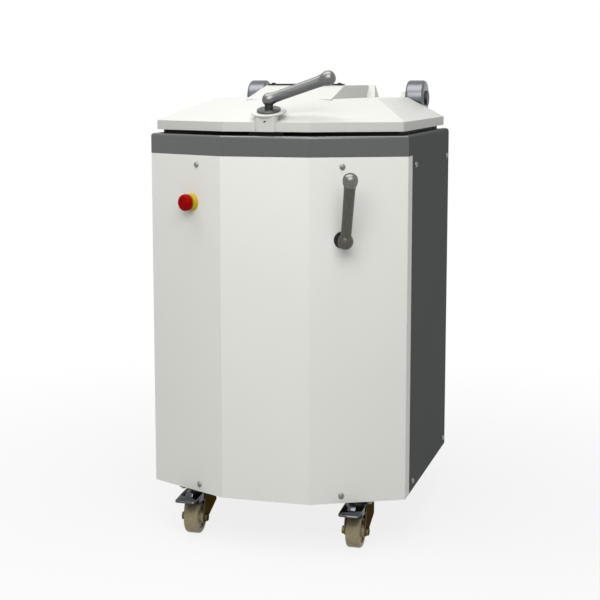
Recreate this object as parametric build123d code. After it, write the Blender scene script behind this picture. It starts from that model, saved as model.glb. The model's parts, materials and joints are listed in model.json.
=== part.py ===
from build123d import *

import os
from math import atan2, cos, degrees, hypot, radians, sin, tan

# Dough divider: a faceted sheet-metal cabinet on casters, with a hinged press lid over a dough tank.
# Millimetres, +Z up, +X to the right of someone in front of it, +Y towards its rear.
# Pieces are modelled with Y counted from the front face. At the end they are moved so that the
# origin lies on the floor under the middle of the whole outline.

# Cabinet shell
body_width = 640.0
body_depth = 653.0
facet_half_width = 108.0
facet_setback = 104.0
caster_height = 118.0
panel_height = 823.0
band_height = 48.0
band_round = 7.0
band_lip = 14.0
sheet = 1.5
bend_radius = 3.0
return_depth = 46.0
seam = 0.6
side_corner_radius = 15.0

# Base tray, frame and deck
tray_floor = 4.0
tray_wall = 2.0
tray_height = 40.0
deck_plate = 3.0
deck_skirt = 2.0
deck_drop = 84.0
post_size = 30.0
post_wall = 2.0
beam_depth = 40.0
beam_height = 60.0

# Dough tank
side_room = 70.0
front_room = 165.0
rear_room = 88.0
tank_wall = 8.0
tank_flange = 20.0
tank_flange_thickness = 4.5
tank_play = 0.3
seal_width = 14.0

# Press plate and knives
cells_x = 5
cells_y = 4
stroke = 118.0
dough_depth = 120.0
block_thickness = 14.0
block_corner = 4.0
knife_slot = 4.0
knife_thickness = 2.0
knife_bevel = 5.0
knife_edge = 0.4
knife_below_plate = 2.0
notch_play = 0.2
stack_gap = 6.0
ring_bar = 16.0
ring_height = 18.0
column_radius = 9.0
carrier_thickness = 16.0
carrier_margin = 22.0
guide_radius = 12.0
guide_gap = 12.0
guide_pitch = 200.0
ear_radius = 18.0
running_play = 0.05
seat_play = 0.3

# Cylinders
ram_radius = 25.0
ram_show = 130.0
cylinder_radius = 50.0
cylinder_floor = 24.0
gland_radius = 58.0
gland_height = 24.0
foot_size = 130.0
foot_thickness = 16.0
knife_ram_radius = 9.0
knife_ram_gap = 9.0
knife_cylinder_radius = 22.0
port_size = 24.0
port_height = 226.0

# Power pack
oil_tank_width = 280.0
oil_tank_depth = 130.0
oil_tank_height = 180.0
oil_tank_lid = 5.0
bell_radius = 55.0
bell_height = 40.0
motor_radius = 62.0
motor_fin = 8.0
motor_fins = 18
motor_height = 180.0
motor_offset = 60.0
fan_cover_height = 40.0
pipe_radius = 5.0
pipe_bend = 30.0

# Electrical box and cable gland
box_width = 90.0
box_depth = 100.0
box_height = 216.0
cable_radius = 5.5
gland_thread_radius = 10.0
gland_nut_radius = 14.0
gland_nut = 8.0
gland_length = 40.0
cable_height = 90.0

# Rear panel vents
vent_count = 9
vent_width = 150.0
vent_slot = 6.0
vent_pitch = 18.0
vent_height = 110.0

# Lid
lid_gap = 9.0
lid_inset = 12.0
lid_rear_inset = 15.0
lid_wall = 6.0
skirt_height = 22.0
plateau_rise = 51.0
side_run = 99.0
front_run = 192.0
facet_run = 190.0
ridge_rise = 32.0
ridge_half_width = 103.0
ridge_draft = 0.15
ridge_front = 206.0
ridge_front_run = 152.0
lug_foot = 130.0
lug_side_run = 10.0
lug_depth = 52.0
lug_front_run = 46.0
lid_corner_radius = 10.0
lining = 4.0
strip_half_width = 98.0
strip_depth = 22.0
strip_height = 4.5
strip_screw_radius = 5.0
strip_screw_head = 2.5

# Hinge
hinge_behind = 39.0
hinge_above = 79.0
barrel_radius = 48.0
barrel_width = 50.0
barrel_from_side = 70.5
barrel_round = 8.0
tower_drop = 120.0
tower_foot = 8.0
tower_foot_width = 90.0
tower_foot_drop = 40.0
tower_base_depth = 30.0
shaft_radius = 10.0
bush_wall = 5.5
bush_end = 3.0
cap_radius = 20.0
cap_thickness = 6.0
arm_width = 14.0
arm_gap = 2.0
arm_hub_radius = 17.0
arm_foot_low = 12.0
arm_foot_high = 60.0

# Latch and lid lever
latch_y = 40.0
housing_radius = 27.0
housing_rim = 14.0
housing_rim_height = 8.0
housing_rim_edge = 3.0
housing_top = 47.0
housing_corner = 12.0
housing_front = 6.0
housing_screw_radius = 3.0
housing_screw_depth = 9.0
housing_screw_height = 23.0
disc_radius = 28.0
disc_thickness = 6.0
spindle_radius = 10.0
tee_length = 52.0
tee_width = 16.0
tee_height = 10.0
tee_below_deck = 6.0
slot_side = 6.0
slot_front = 10.0
slot_rear = 4.0
keeper_margin = 10.0
keeper_height = 9.0
lid_hub_radius = 16.0
lid_hub_height = 27.0
lid_lever_rise = 19.0

# Levers
lever_length = 150.0
lever_end_radius = 18.0
lever_bar_radius = 12.2
lever_bar_end_radius = 13.6
lever_from_corner = 157.5
lever_below_band = 192.0
lever_lean = 18.0
lever_hub_radius = 18.5
lever_hub_out = 37.0
lever_neck_radius = 13.0
lever_spindle_radius = 8.0
lever_spindle_reach = 62.0
bush_flange_radius = 20.0
bush_flange = 3.0
bush_tube_radius = 14.0

# Control valve
valve_width = 60.0
valve_height = 60.0
valve_depth = 62.0
bracket_thickness = 4.0
bracket_width = 70.0
bracket_lap = 30.0

# Stop button
stop_from_corner = 141.1
stop_below_band = 113.0
stop_collar_radius = 21.5
stop_collar_height = 12.0
stop_head_radius = 20.0
stop_head_height = 16.0
stop_travel = 4.0
stop_stem_radius = 6.0
stop_tube_radius = 11.0
stop_block = 34.0
stop_block_depth = 46.0

# Screws and bolts
screw_head_radius = 7.0
screw_head_height = 4.0
screw_radius = 2.5
screw_play = 0.2
screw_along = 78.5
screw_below_band = 23.0
screw_above_base = 18.0
side_screw_y = 189.0
side_screw_rear = 33.0
side_screw_below_band = 24.0
side_screw_above_base = 23.0
rear_screw_inset = 18.0
bolt_size = 6.5
bolt_head = 5.0

# Casters
wheel_radius = 40.0
wheel_width = 35.0
wheel_bevel = 5.0
wheel_recess = 5.0
wheel_hub_radius = 14.0
wheel_rim = 12.0
caster_from_side = 115.0
caster_front_y = 112.0
caster_rear_y = 560.0
caster_trail = 37.0
caster_plate = 4.0
caster_plate_size = 84.0
caster_bolt_pitch = 64.0
race_radius = 26.0
race_height = 8.0
kingpin_radius = 6.0
kingpin_head = 9.0
kingpin_head_height = 4.0
fork_thickness = 3.0
fork_room = 6.5
fork_crown = 5.0
fork_crown_front = 30.0
fork_crown_rear = 46.0
fork_cheek = 44.0
fork_eye = 12.0
axle_radius = 6.0
axle_nut = 10.0
axle_nut_height = 6.0
pedal_width = 52.0
pedal_start = 34.0
pedal_length = 78.0
pedal_drop = 7.5
pedal_thickness = 3.0
pedal_lip = 6.0
pedal_top_gap = 6.0
pedal_pivot_back = 10.0
pedal_pivot_below = 9.0
pedal_ear = 3.0
pedal_boss = 5.0
pedal_pin = 3.0

# Levels and places that follow from the sizes above
facet_angle = degrees(atan2(facet_setback, body_width / 2 - facet_half_width))
facet_width = hypot(facet_setback, body_width / 2 - facet_half_width)
panel_top = caster_height + panel_height
band_top = panel_top + band_height
tray_top = caster_height + tray_floor
deck_top = band_top - sheet
deck_bottom = deck_top - deck_plate
skirt_inset = sheet + deck_skirt
return_end = facet_setback + return_depth
inner_rear = body_depth - sheet

tank_x = body_width - 2 * side_room
tank_y = body_depth - front_room - rear_room
tank_middle = front_room + tank_y / 2
tank_rim = deck_top + tank_flange_thickness
pitch_x = tank_x / cells_x
pitch_y = tank_y / cells_y
column_places = [
    ((column - (cells_x - 1) / 2) * pitch_x, tank_middle + (row - (cells_y - 1) / 2) * pitch_y)
    for column in range(cells_x)
    for row in range(cells_y)
]

block_top = tank_rim - dough_depth
block_bottom = block_top - block_thickness
tank_bottom = block_bottom - stack_gap / 2
knife_top = block_top - knife_below_plate
ring_top = block_bottom - stroke - stack_gap
ring_bottom = ring_top - ring_height
ring_x = tank_x - knife_slot
ring_y = tank_y - knife_slot
carrier_top = ring_bottom - stroke - stack_gap
carrier_bottom = carrier_top - carrier_thickness
cylinder_top = carrier_bottom - ram_show
guide_x = tank_x / 2 + tank_wall + guide_gap + guide_radius
guide_places = [(side * guide_x, tank_middle + end * guide_pitch / 2) for side in (-1, 1) for end in (-1, 1)]
knife_ram_x = ring_x / 2 - ring_bar / 2
carrier_half_x = knife_ram_x - knife_ram_radius - knife_ram_gap
carrier_half_y = (cells_y - 1) / 2 * pitch_y + carrier_margin

lid_bottom = band_top + lid_gap
skirt_top = lid_bottom + skirt_height
plateau = skirt_top + plateau_rise
crest = plateau + ridge_rise
front_slope = degrees(atan2(plateau_rise, front_run))
lid_rear = body_depth - lid_rear_inset
hinge_y = body_depth + hinge_behind
hinge_z = band_top + hinge_above
barrel_outer_x = body_width / 2 - barrel_from_side
barrel_inner_x = barrel_outer_x - barrel_width
arm_inner_x = barrel_inner_x - arm_gap - arm_width

housing_top_z = lid_bottom + housing_top
lid_hub_z = housing_top_z + lid_hub_height
tee_top = deck_bottom - tee_below_deck
tee_bottom = tee_top - tee_height

lever_along = facet_width - lever_from_corner
lever_z = panel_top - lever_below_band
stop_along = facet_width - stop_from_corner
stop_z = panel_top - stop_below_band

caster_x = body_width / 2 - caster_from_side
fork_inner = wheel_width / 2 + fork_room
fork_outer = fork_inner + fork_thickness
race_bottom = caster_height - caster_plate - race_height
crown_top = race_bottom - seat_play
crown_bottom = crown_top - fork_crown
pedal_top = caster_height - caster_plate - pedal_top_gap
pivot_z = crown_bottom - pedal_pivot_below

lever_reach = lever_hub_out + lever_length * sin(radians(lever_lean))
front_most = lever_along * sin(radians(facet_angle)) - lever_reach * cos(radians(facet_angle))
front_most -= lever_end_radius
rear_most = hinge_y + barrel_radius
middle_y = (front_most + rear_most) / 2


def block(x_from, x_to, y_from, y_to, z_from, z_to):
    """Box between two corners."""
    middle = Pos((x_from + x_to) / 2, (y_from + y_to) / 2, (z_from + z_to) / 2)
    return middle * Box(x_to - x_from, y_to - y_from, z_to - z_from)


def rod_z(radius, x, y, z_from, z_to):
    """Upright round bar."""
    return Pos(x, y, (z_from + z_to) / 2) * Cylinder(radius, z_to - z_from)


def rod_x(radius, x_from, x_to, y, z):
    """Round bar along X."""
    return Pos((x_from + x_to) / 2, y, z) * Rot(0, 90, 0) * Cylinder(radius, x_to - x_from)


def prism(face, z_from, z_to):
    """Plan outline as an upright solid."""
    return Pos(0, 0, z_from) * extrude(face, amount=z_to - z_from, dir=(0, 0, 1))


def slab_x(face, x_from, x_to):
    """Side outline, drawn as (y, z), as a solid along X."""
    return Pos(x_from, 0, 0) * extrude(Plane.YZ * face, amount=x_to - x_from, dir=(1, 0, 0))


def polygon(*points):
    return make_face(Polyline(*points, close=True))


def with_mirror(part):
    """A piece and its mirror image on the other side of the machine."""
    return [part, mirror(part, about=Plane.YZ)]


def group(pieces):
    """Separate solids of one kind, kept in one node."""
    return Compound(children=[solid for piece in pieces for solid in piece.solids()])


def side_corner(inset):
    """Right front corner of the cabinet's plan, moved in by inset."""
    y = facet_setback + inset * tan(radians(90 - facet_angle) / 2)
    return body_width / 2 - inset, y


def middle_corner(inset):
    """Right end of the middle facet in plan, moved in by inset."""
    return facet_half_width - inset * tan(radians(facet_angle) / 2), inset


def plan(inset, rear_y, corner_radius=0.0):
    """Plan of the cabinet with its three front facets, moved in by inset and cut square at rear_y."""
    side_x, side_y = side_corner(inset)
    middle_x, middle_front = middle_corner(inset)
    right = [(middle_x, middle_front), (side_x, side_y), (side_x, rear_y)]
    left = [(-x, y) for x, y in reversed(right)]
    face = polygon(*left, *right)
    if corner_radius:
        face = fillet(face.vertices().sort_by(Axis.Y)[:4], corner_radius)
    return face


def facet(side, along, height):
    """Plane on a side facet: x to the viewer's right, y up, z out of the machine."""
    angle = radians(facet_angle)
    origin = (side * (facet_half_width + along * cos(angle)), along * sin(angle), height)
    return Plane(origin, x_dir=(cos(angle), side * sin(angle), 0), z_dir=(side * sin(angle), -cos(angle), 0))


def out_rod(radius, z_from, z_to):
    """Round bar along a facet's own outward axis."""
    return Pos(0, 0, (z_from + z_to) / 2) * Cylinder(radius, z_to - z_from)


lever_place = facet(1, lever_along, lever_z)
stop_place = facet(-1, stop_along, stop_z)
front_screw_places = [
    facet(side, screw_along, height)
    for side in (-1, 1)
    for height in (panel_top - screw_below_band, caster_height + screw_above_base)
]
side_screw_places = [
    Plane((side * body_width / 2, y, height), x_dir=(0, side, 0), z_dir=(side, 0, 0))
    for side in (-1, 1)
    for y in (side_screw_y, body_depth - side_screw_rear)
    for height in (panel_top - side_screw_below_band, caster_height + side_screw_above_base)
]
rear_screw_places = [
    Plane((side * (body_width / 2 - rear_screw_inset), body_depth, height), x_dir=(-1, 0, 0), z_dir=(0, 1, 0))
    for side in (-1, 1)
    for height in (
        caster_height + side_screw_above_base,
        (caster_height + panel_top) / 2,
        panel_top - side_screw_below_band,
    )
]


def screw_holes(places):
    """Clearance holes through one sheet."""
    return [place * out_rod(screw_radius + screw_play, -2 * sheet, sheet) for place in places]


def rounded_cap(inset, rear_y, z_from, z_to, radius):
    """Plan as a solid whose top edges are rounded along the front and the sides."""
    solid = prism(plan(inset, rear_y), z_from, z_to)
    top_edges = solid.edges().group_by(Axis.Z)[-1].sort_by(Axis.Y)[:-1]
    return fillet(top_edges, radius)


def rim():
    """Sheet that covers the top of the cabinet's front and sides, with its rounded edge and lip."""
    past_rear = body_depth + sheet
    outside = rounded_cap(0, body_depth, panel_top, band_top, band_round)
    inside = rounded_cap(sheet, past_rear, panel_top - sheet, deck_top, band_round - sheet)
    return outside - inside - prism(plan(band_lip, past_rear), panel_top, band_top + sheet)


def front_zone(shift):
    """Space in front of the mitred corners."""
    beyond = side_corner(-band_lip)
    within = side_corner(2 * band_lip)
    corners = [within, beyond, (beyond[0], -body_depth), (-beyond[0], -body_depth)]
    corners += [(-beyond[0], beyond[1]), (-within[0], within[1])]
    return Pos(0, shift, 0) * prism(polygon(*corners), panel_top - band_lip, band_top + band_lip)


def top_band():
    return rim() & front_zone(0)


def side_panel(side):
    """Dark side panel with its rounded top edge, notched for the white panel's return."""
    half = body_width / 2
    outer, inner = side * half, side * (half - sheet)
    low_x, high_x = min(outer, inner), max(outer, inner)
    wall = block(low_x, high_x, return_end + seam, body_depth, caster_height, panel_top)
    upper = rim() - front_zone(seam)
    middle = block(-half, 0, -half, body_depth + half, panel_top - half, band_top + half)
    if side < 0:
        middle = mirror(middle, about=Plane.YZ)
    panel = wall + (upper - middle)
    rear, top, radius = body_depth, band_top, side_corner_radius
    corner = block(-half, half, rear - radius, rear + radius, top - radius, top + radius)
    corner -= rod_x(radius, -half, half, rear - radius, top - radius)
    panel -= corner
    return panel - screw_holes(side_screw_places)


def front_panel():
    """White panel: three facets and a short return along each side, in one bent sheet."""
    outside = plan(0, return_end, bend_radius)
    inside = plan(sheet, return_end + sheet)
    panel = prism(outside - inside, caster_height, panel_top - seam)
    panel -= lever_place * out_rod(bush_tube_radius, -2 * sheet, sheet)
    panel -= stop_place * out_rod(stop_tube_radius, -2 * sheet, sheet)
    return panel - screw_holes(front_screw_places)


def rear_panel():
    """Rear sheet between the side panels, with a field of vent slots."""
    half = body_width / 2 - sheet - seam
    panel = block(-half, half, inner_rear, body_depth, caster_height, deck_top - side_corner_radius)
    for row in range(vent_count):
        z = tray_top + vent_height + row * vent_pitch
        slot = Rot(90, 0, 0) * extrude(SlotOverall(vent_width, vent_slot), amount=2 * sheet, both=True)
        panel -= Pos(0, body_depth, z) * slot
    panel -= gland_place() * out_rod(gland_thread_radius, -2 * sheet, sheet)
    return panel - screw_holes(rear_screw_places)


def base_tray():
    tray = prism(plan(sheet, inner_rear), caster_height, caster_height + tray_height)
    hollow = prism(plan(sheet + tray_wall, inner_rear - tray_wall), tray_top, caster_height + tray_height)
    return tray - hollow


def top_deck():
    """Deck plate with a skirt turned down all round, the tank's opening and the latch slot."""
    deck = rounded_cap(sheet, inner_rear, deck_top - deck_drop, deck_top, band_round)
    deck -= prism(plan(skirt_inset, inner_rear - deck_skirt), deck_top - deck_drop, deck_bottom)
    half_x = tank_x / 2 + tank_wall + tank_play
    half_y = tank_y / 2 + tank_wall + tank_play
    deck -= block(-half_x, half_x, tank_middle - half_y, tank_middle + half_y, deck_bottom, deck_top)
    return deck - latch_slot(deck_bottom, deck_top)


def frame_posts():
    """Corner posts of square tube and the beam that carries the hinge towers."""
    reach = post_size / 2 + max(tray_wall, deck_skirt)
    post_x = body_width / 2 - sheet - reach
    front_y = side_corner(skirt_inset)[1] + post_size / 2
    rear_y = inner_rear - reach
    tube = Rectangle(post_size, post_size) - Rectangle(post_size - 2 * post_wall, post_size - 2 * post_wall)
    places = [(x, y) for x in (-post_x, post_x) for y in (front_y, rear_y)]
    posts = [prism(Pos(x, y) * tube, tray_top, deck_bottom) for x, y in places]
    half = post_x - post_size / 2
    beam_rear = inner_rear - deck_skirt
    beam_top = deck_bottom - seat_play
    outline = (beam_rear - beam_depth, beam_rear, beam_top - beam_height, beam_top)
    beam = block(-half, half, *outline)
    beam -= block(-half, half, outline[0] + post_wall, outline[1] - post_wall,
                  outline[2] + post_wall, outline[3] - post_wall)
    return group([*posts, beam])


def dough_tank():
    """Rectangular tank, open below for the press plate, hung in the deck by its flange."""
    half_x, half_y = tank_x / 2, tank_y / 2
    outer_x, outer_y = half_x + tank_wall, half_y + tank_wall
    walls = block(-outer_x, outer_x, -outer_y, outer_y, tank_bottom, tank_rim)
    flange_x, flange_y = outer_x + tank_flange, outer_y + tank_flange
    flange = block(-flange_x, flange_x, -flange_y, flange_y, deck_top, tank_rim)
    tank = walls + flange - block(-half_x, half_x, -half_y, half_y, tank_bottom, tank_rim)
    return Pos(0, tank_middle, 0) * tank


def tank_seal():
    """Black sealing frame between the tank's rim and the lid."""
    inner = Rectangle(tank_x + 2 * tank_wall, tank_y + 2 * tank_wall)
    outer = RectangleRounded(tank_x + 2 * tank_wall + 2 * seal_width, tank_y + 2 * tank_wall + 2 * seal_width,
                             seal_width)
    return prism(Pos(0, tank_middle) * (outer - inner), tank_rim, lid_bottom - seat_play)


def press_blocks():
    """Square blocks that make up the press plate, with the knives' slots between them."""
    square = RectangleRounded(pitch_x - knife_slot, pitch_y - knife_slot, block_corner)
    return group([prism(Pos(x, y) * square, block_bottom, block_top) for x, y in column_places])


def press_columns():
    return group([rod_z(column_radius, x, y, carrier_top, block_bottom) for x, y in column_places])


def guide_ear(x, y, from_x, z_from, z_to):
    """Eye that slides on a guide post, with a web back to the carriage."""
    reach = abs(x) - from_x
    web = Pos(from_x + reach / 2, 0) * Rectangle(reach, 2 * ear_radius)
    eye = Pos(abs(x), 0) * Circle(ear_radius)
    outline = web + eye - Pos(abs(x), 0) * Circle(guide_radius + running_play)
    ear = prism(outline, z_from, z_to)
    if x < 0:
        ear = mirror(ear, about=Plane.YZ)
    return Pos(0, y, 0) * ear


def press_carrier():
    """Plate under the columns, with an ear on each guide post."""
    plate = block(-carrier_half_x, carrier_half_x, tank_middle - carrier_half_y, tank_middle + carrier_half_y,
                  carrier_bottom, carrier_top)
    ears = [guide_ear(x, y, carrier_half_x, carrier_bottom, carrier_top) for x, y in guide_places]
    return group([plate, *ears])


def press_ram():
    return rod_z(ram_radius, 0, tank_middle, tray_top + cylinder_floor, carrier_bottom)


def cylinder_port(radius):
    """Flat-faced boss for a pipe, on the side of a cylinder at the right."""
    return block(0, radius + port_size / 4, -port_size / 2, port_size / 2, port_height - port_size / 2,
                 port_height + port_size / 2)


def press_cylinder():
    """Upright cylinder with a square foot, a gland at the top and a bore for the ram."""
    half = foot_size / 2
    foot = block(-half, half, -half, half, tray_top, tray_top + foot_thickness)
    tube = rod_z(cylinder_radius, 0, 0, tray_top, cylinder_top)
    gland = rod_z(gland_radius, 0, 0, cylinder_top - gland_height, cylinder_top)
    bore = rod_z(ram_radius + running_play, 0, 0, tray_top + cylinder_floor - seat_play, cylinder_top)
    return Pos(0, tank_middle, 0) * (foot + tube + gland + cylinder_port(cylinder_radius) - bore)


def knife_cylinders():
    tube = rod_z(knife_cylinder_radius, 0, 0, tray_top, cylinder_top)
    tube += mirror(Rot(0, 0, 90) * cylinder_port(knife_cylinder_radius), about=Plane.YZ)
    tube -= rod_z(knife_ram_radius + running_play, 0, 0, tray_top + cylinder_floor - seat_play, cylinder_top)
    return group(with_mirror(Pos(knife_ram_x, tank_middle, 0) * tube))


def knife_rams():
    ram = rod_z(knife_ram_radius, knife_ram_x, tank_middle, tray_top + cylinder_floor, ring_bottom)
    return group(with_mirror(ram))


def knife_ring():
    """Four bars under the ends of the blades, with an ear on each guide post."""
    half_x, half_y = ring_x / 2, ring_y / 2
    bars = [block(-half_x, half_x, end * half_y - (ring_bar if end > 0 else 0),
                  end * half_y + (0 if end > 0 else ring_bar), ring_bottom, ring_top) for end in (-1, 1)]
    side_bar = block(half_x - ring_bar, half_x, ring_bar - half_y, half_y - ring_bar, ring_bottom, ring_top)
    bars += with_mirror(side_bar)
    ears = [guide_ear(x, y, half_x, ring_bottom, ring_top) for x, y in guide_places]
    return group([*(Pos(0, tank_middle, 0) * bar for bar in bars), *ears])


def blade(length):
    """Upright blade along X, ground to an edge at the top."""
    half, edge = knife_thickness / 2, knife_edge / 2
    shoulder = knife_top - knife_bevel
    section = polygon((-half, ring_top), (half, ring_top), (half, shoulder), (edge, knife_top),
                      (-edge, knife_top), (-half, shoulder))
    return slab_x(section, -length / 2, length / 2)


def knife_blades():
    """Blades both ways, notched into each other at half height."""
    x_lines = [(line - cells_x / 2) * pitch_x for line in range(1, cells_x)]
    y_lines = [(line - cells_y / 2) * pitch_y for line in range(1, cells_y)]
    half_notch = (knife_thickness + notch_play) / 2
    waist = (ring_top + knife_top) / 2
    long_blade = blade(ring_x)
    for x in x_lines:
        long_blade -= block(x - half_notch, x + half_notch, -knife_slot, knife_slot, waist, knife_top)
    short_blade = blade(ring_y)
    for y in y_lines:
        short_blade -= block(y - half_notch, y + half_notch, -knife_slot, knife_slot, ring_top, waist)
    blades = [Pos(0, tank_middle + y, 0) * long_blade for y in y_lines]
    blades += [Pos(x, tank_middle, 0) * Rot(0, 0, 90) * short_blade for x in x_lines]
    return group(blades)


def guide_posts():
    return group([rod_z(guide_radius, x, y, tray_top, deck_bottom) for x, y in guide_places])


oil_rear = front_room - knife_slot
oil_front = oil_rear - oil_tank_depth
oil_top = tray_top + oil_tank_height
motor_y = (oil_front + oil_rear) / 2


def oil_tank():
    """Welded oil tank with a lid plate that overhangs it a little."""
    half = oil_tank_width / 2
    tank = block(-half + oil_tank_lid, half - oil_tank_lid, oil_front + oil_tank_lid, oil_rear - oil_tank_lid,
                 tray_top, oil_top - oil_tank_lid)
    return tank + block(-half, half, oil_front, oil_rear, oil_top - oil_tank_lid, oil_top)


def motor():
    """Upright motor with cooling fins, a bell housing below and a fan cover on top."""
    base = oil_top + bell_height
    body = rod_z(motor_radius - motor_fin, 0, 0, base, base + motor_height)
    half_fin = motor_fin / 4
    fin = block(0, motor_radius, -half_fin, half_fin, base + motor_fin, base + motor_height - motor_fin)
    for turn in range(motor_fins):
        body += Rot(0, 0, turn * 360 / motor_fins) * fin
    bell = rod_z(bell_radius, 0, 0, oil_top, base)
    cover_top = base + motor_height + fan_cover_height
    cover = rod_z(motor_radius, 0, 0, base + motor_height, cover_top)
    cover = fillet(cover.edges().group_by(Axis.Z)[-1], motor_fin)
    return Pos(-motor_offset, motor_y, 0) * (body + bell + cover)


valve_back = skirt_inset + bracket_thickness
valve_bottom = lever_z - valve_height / 2


def valve_bracket():
    """Strip that hangs from the deck's skirt and carries the control valve behind the panel."""
    low, high = -valve_height / 2, deck_top - deck_drop + bracket_lap - lever_z
    strip = block(-bracket_width / 2, bracket_width / 2, low, high, -valve_back, -skirt_inset)
    return lever_place * (strip - out_rod(bush_tube_radius, -valve_back, -skirt_inset))


def control_valve():
    """Rotary valve block that the lever's spindle turns in."""
    half = valve_width / 2
    valve = block(-half, half, -valve_height / 2, valve_height / 2, -valve_back - valve_depth, -valve_back)
    bore_end = -lever_spindle_reach - seat_play
    return lever_place * (valve - out_rod(lever_spindle_radius + running_play, bore_end, -valve_back))


def pipe(*points):
    """Bent tube through the given corners."""
    path = FilletPolyline(*points, radius=pipe_bend)
    start = Plane(path @ 0, z_dir=path % 0)
    return sweep(start * Circle(pipe_radius), path=path)


def hydraulic_pipes():
    """Pipes from the oil tank up to the valve, and from the valve to the three cylinders."""
    valve_middle = lever_place * Pos(0, 0, -valve_back - valve_depth / 2)
    middle = valve_middle.position
    step = 3 * pipe_radius
    pipes = []
    for shift in (-1, 1):
        x = middle.X - valve_width / 4 - shift * pipe_radius * 1.6
        pipes.append(rod_z(pipe_radius, x, middle.Y, oil_top, valve_bottom))
    drop_x = middle.X + step / 2
    drop_y = middle.Y + step
    port_x = cylinder_radius + port_size / 4
    pipes.append(pipe((drop_x, drop_y, valve_bottom), (drop_x, drop_y, port_height),
                      (drop_x, tank_middle, port_height), (port_x, tank_middle, port_height)))
    knife_port_y = tank_middle + knife_cylinder_radius + port_size / 4
    around_y = knife_port_y + 3 * pipe_bend
    pipes.append(pipe((-knife_ram_x, knife_port_y, port_height), (-knife_ram_x, around_y, port_height),
                      (knife_ram_x, around_y, port_height), (knife_ram_x, knife_port_y, port_height)))
    return group(pipes)


def gland_place():
    """Plane of the cable gland on the rear panel: z out of the machine."""
    x = -(body_width / 2 - sheet - box_width / 2 - post_size)
    return Plane((x, body_depth, tray_top + cable_height), x_dir=(-1, 0, 0), z_dir=(0, 1, 0))


def cable_gland():
    """Cable gland: nuts on both sides of the rear panel, a domed cap and a through bore."""
    nut = RegularPolygon(gland_nut_radius, 6)
    gland = out_rod(gland_thread_radius - screw_play, -gland_length / 2, gland_length / 2)
    gland += extrude(nut, amount=gland_nut)
    gland += Pos(0, 0, -sheet - gland_nut) * extrude(nut, amount=gland_nut)
    dome = fillet(gland.faces().sort_by(Axis.Z)[-1].edges(), gland_thread_radius / 4)
    return gland_place() * (dome - out_rod(cable_radius, -gland_length / 2, gland_length / 2))


def electrical_box():
    """Closed switch box on the tray, beside the cable gland."""
    centre = gland_place().origin.X
    box_rear = inner_rear - gland_length
    box = block(centre - box_width / 2, centre + box_width / 2, box_rear - box_depth, box_rear, tray_top,
                tray_top + box_height)
    lid_edges = box.faces().sort_by(Axis.Y)[0].edges()
    return fillet(lid_edges, bend_radius)


def slope(point, outward, rise, run, wall):
    """Plane that climbs from an edge of the lid towards its middle, moved in by wall."""
    normal = Vector(outward[0] * rise, outward[1] * rise, run).normalized()
    return Plane(Vector(*point) - normal * wall, z_dir=normal)


def below(solid, *planes):
    for plane in planes:
        solid = split(solid, bisect_by=plane, keep=Keep.BOTTOM)
    return solid


def lid_hip(wall):
    """Skirt and the slopes that climb from it to the flat plateau."""
    angle = radians(facet_angle)
    half = body_width / 2 - lid_inset
    corner_x, corner_y = middle_corner(lid_inset)
    planes = [slope((0, lid_inset, skirt_top), (0, -1), plateau_rise, front_run, wall)]
    for side in (-1, 1):
        outward = (side * sin(angle), -cos(angle))
        planes.append(slope((side * half, 0, skirt_top), (side, 0), plateau_rise, side_run, wall))
        planes.append(slope((side * corner_x, corner_y, skirt_top), outward, plateau_rise, facet_run, wall))
    hip = prism(plan(lid_inset + wall, lid_rear - wall), lid_bottom, plateau - wall)
    return below(hip, *planes)


def lid_ridge(wall):
    """Broad ridge that climbs from the front of the plateau to its crest and runs level to the rear."""
    planes = [slope((0, ridge_front, plateau), (0, -1), ridge_rise, ridge_front_run, wall)]
    for side in (-1, 1):
        planes.append(slope((side * ridge_half_width, 0, crest), (side, 0), 1, ridge_draft, wall))
    spread = ridge_half_width + ridge_rise
    ridge = block(-spread, spread, ridge_front, lid_rear - wall, plateau - ridge_rise / 2, crest - wall)
    return below(ridge, *planes)


def lid_lugs(wall):
    """Buttress across the rear end of the ridge, a little wider than it."""
    front = lid_rear - lug_depth
    planes = [slope((0, front, plateau), (0, -1), ridge_rise, lug_front_run, wall)]
    for side in (-1, 1):
        planes.append(slope((side * lug_foot, 0, plateau), (side, 0), ridge_rise, lug_side_run, wall))
    spread = lug_foot + ridge_rise
    lugs = block(-spread, spread, front, lid_rear - wall, plateau - ridge_rise / 2, crest - wall)
    return below(lugs, *planes)


def lid_outside():
    """Outer form of the lid with its edges softened."""
    hip = lid_hip(0)
    uprights = hip.edges().filter_by(Axis.Z).sort_by(Axis.Y)[:4]
    hip = fillet(uprights, lid_corner_radius)
    return hip + lid_ridge(0) + lid_lugs(0)


def lid_casting():
    """White lid shell, open below, bored for the latch spindle."""
    inside = lid_hip(lid_wall) + lid_ridge(lid_wall) + lid_lugs(lid_wall)
    shell = lid_outside() - inside
    return shell - rod_z(spindle_radius + running_play, 0, latch_y, lid_bottom, crest)


def lid_lining():
    """Stainless pressing plate that closes the lid's underside."""
    plate = prism(plan(lid_inset + lid_wall, lid_rear - lid_wall), lid_bottom, lid_bottom + lining)
    return plate - rod_z(spindle_radius + running_play, 0, latch_y, lid_bottom, lid_bottom + lining)


def lid_strip():
    """Dark strip along the crest of the lid, held by two screws."""
    y_from = ridge_front + ridge_front_run
    y_to = y_from + strip_depth
    strip = block(-strip_half_width, strip_half_width, y_from, y_to, crest, crest + strip_height)
    head_top = crest + strip_height + strip_screw_head
    for side in (-1, 1):
        x = side * (strip_half_width - strip_depth / 2)
        strip += rod_z(strip_screw_radius, x, y_from + strip_depth / 2, crest, head_top)
    return strip


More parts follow.
